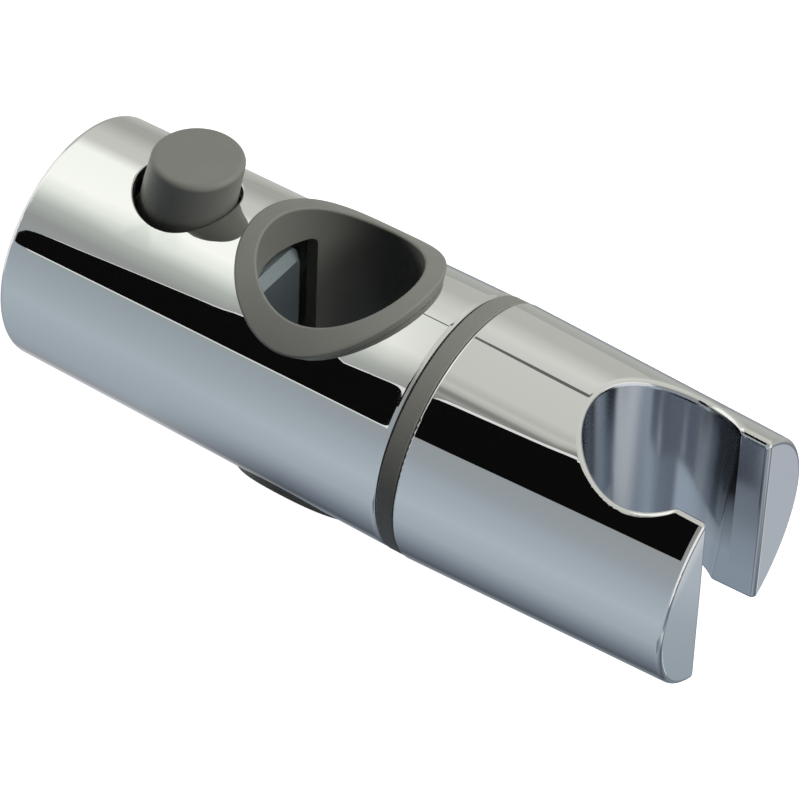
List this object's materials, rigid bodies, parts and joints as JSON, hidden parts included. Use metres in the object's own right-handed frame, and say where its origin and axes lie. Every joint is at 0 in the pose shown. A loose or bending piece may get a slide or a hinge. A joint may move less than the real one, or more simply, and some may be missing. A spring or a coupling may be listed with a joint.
{
  "type": "shower rail slider",
  "caption": "Chrome slider for a round shower rail, with a push button that frees its clamp and a swivelling cone holder for a hand shower.",
  "frame": {"origin": "where the axis of the round body crosses the axis of the rail passage", "axes": "+X along the body towards the handset holder, +Z along the rail axis towards the button side"},
  "size_m": [0.114, 0.0404, 0.0475],
  "materials": {
    "chrome_plate": "polished chrome on moulded ABS",
    "grey_plastic": "satin",
    "dark_plastic": "satin",
    "white_acetal": "satin",
    "plate_metal": "satin",
    "spring_steel": "satin",
    "brass_insert": "machined",
    "black_rubber": "matte"
  },
  "bodies": {
    "slider_body": {"body_shell": "chrome_plate", "end_cap": "chrome_plate", "clamp_guide": "white_acetal", "rail_bush_upper": "grey_plastic", "rail_bush_lower": "grey_plastic", "friction_ring": "grey_plastic", "swivel_bush": "white_acetal", "button_spring": "spring_steel", "clamp_spring": "spring_steel"},
    "button": {"button_cap": "grey_plastic", "button_stem": "white_acetal"},
    "clamp": {"clamp_block": "white_acetal", "clamp_plate": "plate_metal"},
    "holder": {"holder_head": "chrome_plate", "holder_hub": "dark_plastic", "hub_screw_upper": "spring_steel", "hub_screw_lower": "spring_steel", "thread_insert": "brass_insert", "pivot_bolt": "spring_steel", "pivot_washer": "spring_steel", "disc_spring": "spring_steel", "friction_o_ring": "black_rubber"}
  },
  "joints": [
    {"name": "holder_swivel", "type": "hinge", "parent": "slider_body", "child": "holder", "pos_m": [0.0235, 0, 0], "axis": [1, 0, 0], "continuous": true},
    {"name": "button_press", "type": "slide", "parent": "slider_body", "child": "button", "axis": [-0.2181, 0, -0.9759], "range_m": [0, 0.0035], "stiffness_N_per_m": 500, "springref_m": -0.004, "deforming": ["button_spring"]},
    {"name": "clamp_release", "type": "slide", "parent": "slider_body", "child": "clamp", "axis": [-1, 0, 0], "range_m": [0, 0.0042], "stiffness_N_per_m": 1000, "springref_m": -0.004, "deforming": ["clamp_spring"]}
  ],
  "couplings": [
    {"joint": "clamp_release", "follows": "button_press", "ratio": 1.1941}
  ]
}
